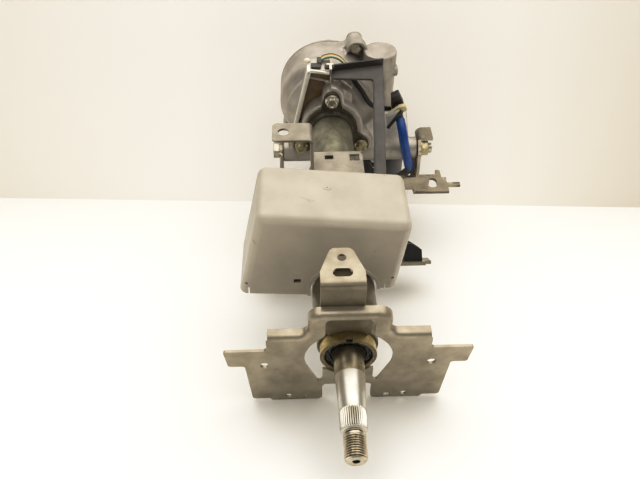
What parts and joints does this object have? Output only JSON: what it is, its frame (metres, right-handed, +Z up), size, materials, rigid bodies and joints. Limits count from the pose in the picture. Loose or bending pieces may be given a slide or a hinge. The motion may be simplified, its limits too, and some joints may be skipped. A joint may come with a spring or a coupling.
{
  "type": "steering column",
  "caption": "Motor-assisted steering column: serrated shaft in a telescoped tube, worm reduction housing with motor, tilt and wing brackets and a control cover.",
  "frame": {"origin": "tip of the steering shaft, at the centre of its thread's end face", "axes": "+Z up as the column lies on a table, +Y from the wheel end to the gear end along the table, +X to the right; the shaft rises along +Y by the rest tilt"},
  "size_m": [0.215, 0.4406, 0.2144],
  "materials": {
    "polished_steel": "turned and polished steel",
    "bearing_steel": "hardened ground steel",
    "black_spring_steel": "oiled black spring steel",
    "yellow_sleeve": "yellow passivated steel",
    "pressed_steel": "satin zinc-plated pressed steel",
    "tube_steel": "drawn steel tube",
    "dark_steel": "dark painted steel",
    "cast_aluminium": "die-cast aluminium",
    "zinc_fastener": "yellow zinc-plated steel",
    "cover_plastic": "moulded cream plastic",
    "guide_plastic": "dark grey moulded plastic",
    "black_plastic": "black moulded plastic",
    "resin": "cast nylon",
    "sensor_resin": "brown potting resin",
    "copper": "lacquered copper winding",
    "motor_can": "black painted steel",
    "rubber": "moulded rubber",
    "wire": "insulated wire",
    "blue_tape": "blue wrapping tape"
  },
  "bodies": {
    "column": {"upper_tube": "tube_steel", "lower_tube": "tube_steel", "tube_bush": "resin", "tube_flange": "dark_steel", "flange_bolts": "zinc_fastener", "bearing_sleeve": "yellow_sleeve", "upper_bearing_outer": "bearing_steel", "upper_bearing_balls": "bearing_steel", "bearing_circlip": "black_spring_steel", "wing_bracket": "pressed_steel", "tongue_bracket": "pressed_steel", "control_cover": "cover_plastic", "cover_tray": "pressed_steel", "control_unit": "cast_aluminium", "saddle_bracket": "pressed_steel", "wire_guide": "guide_plastic", "sensor_housing": "cast_aluminium", "sensor_cover": "sensor_resin", "sensor_coil": "copper", "gear_housing": "cast_aluminium", "gear_cover": "cast_aluminium", "housing_bolts": "zinc_fastener", "output_bearing_outers": "bearing_steel", "worm_bearing_outers": "bearing_steel", "gear_bearing_balls": "bearing_steel", "motor_case": "motor_can", "motor_stator": "copper", "motor_bushes": "copper", "motor_bolts": "zinc_fastener", "pivot_bushes": "resin", "clamp_bracket": "pressed_steel", "tilt_bolt": "zinc_fastener", "tilt_nut": "zinc_fastener", "sensor_connector": "guide_plastic", "sensor_wires": "wire", "sensor_lead": "rubber", "harness_connector": "black_plastic", "motor_connector": "black_plastic", "harness_lead": "blue_tape"},
    "output_shaft_set": {"output_shaft": "polished_steel", "torsion_bar": "bearing_steel", "torsion_pin": "bearing_steel", "wheel_hub": "cast_aluminium", "wheel_rim": "resin", "output_bearing_inners": "bearing_steel"},
    "steering_shaft_set": {"steering_shaft": "polished_steel", "lower_shaft": "polished_steel", "shaft_circlip": "black_spring_steel", "upper_bearing_inner": "bearing_steel", "sensor_rotor": "motor_can"},
    "worm_set": {"worm_shaft": "bearing_steel", "worm_bearing_inners": "bearing_steel", "worm_coupling": "rubber", "motor_rotor": "copper"},
    "lower_bracket_set": {"lower_bracket": "pressed_steel", "pivot_bolt": "zinc_fastener", "pivot_nut": "zinc_fastener"},
    "upper_bracket_set": {"upper_bracket": "pressed_steel", "release_capsules": "black_plastic"},
    "lever_set": {"tilt_lever": "pressed_steel"}
  },
  "joints": [
    {"name": "shaft_turn", "type": "hinge", "parent": "column", "child": "output_shaft_set", "pos_m": [0, 0.35518, 0.12847], "axis": [0, 0.9404, 0.3401], "continuous": true},
    {"name": "torsion_twist", "type": "hinge", "parent": "output_shaft_set", "child": "steering_shaft_set", "pos_m": [0, 0.33477, 0.12109], "axis": [0, 0.9404, 0.3401], "range_deg": [-4.5, 4.5], "stiffness_Nm_per_rad": 120},
    {"name": "worm_turn", "type": "hinge", "parent": "column", "child": "worm_set", "pos_m": [0.048, 0.35518, 0.12847], "axis": [0, -0.3401, 0.9404], "continuous": true},
    {"name": "lower_tilt", "type": "hinge", "parent": "column", "child": "lower_bracket_set", "pos_m": [0, 0.32025, 0.08393], "axis": [1, 0, 0], "range_deg": [-3, 3]},
    {"name": "upper_tilt", "type": "hinge", "parent": "column", "child": "upper_bracket_set", "pos_m": [0, 0.32025, 0.08393], "axis": [1, 0, 0], "range_deg": [-3, 3]},
    {"name": "lever_swing", "type": "hinge", "parent": "column", "child": "lever_set", "pos_m": [0, 0.21953, 0.039], "axis": [1, 0, 0], "range_deg": [0, 40]}
  ],
  "couplings": [
    {"joint": "worm_turn", "follows": "shaft_turn", "ratio": 20.5},
    {"joint": "upper_tilt", "follows": "lower_tilt", "ratio": 1}
  ]
}
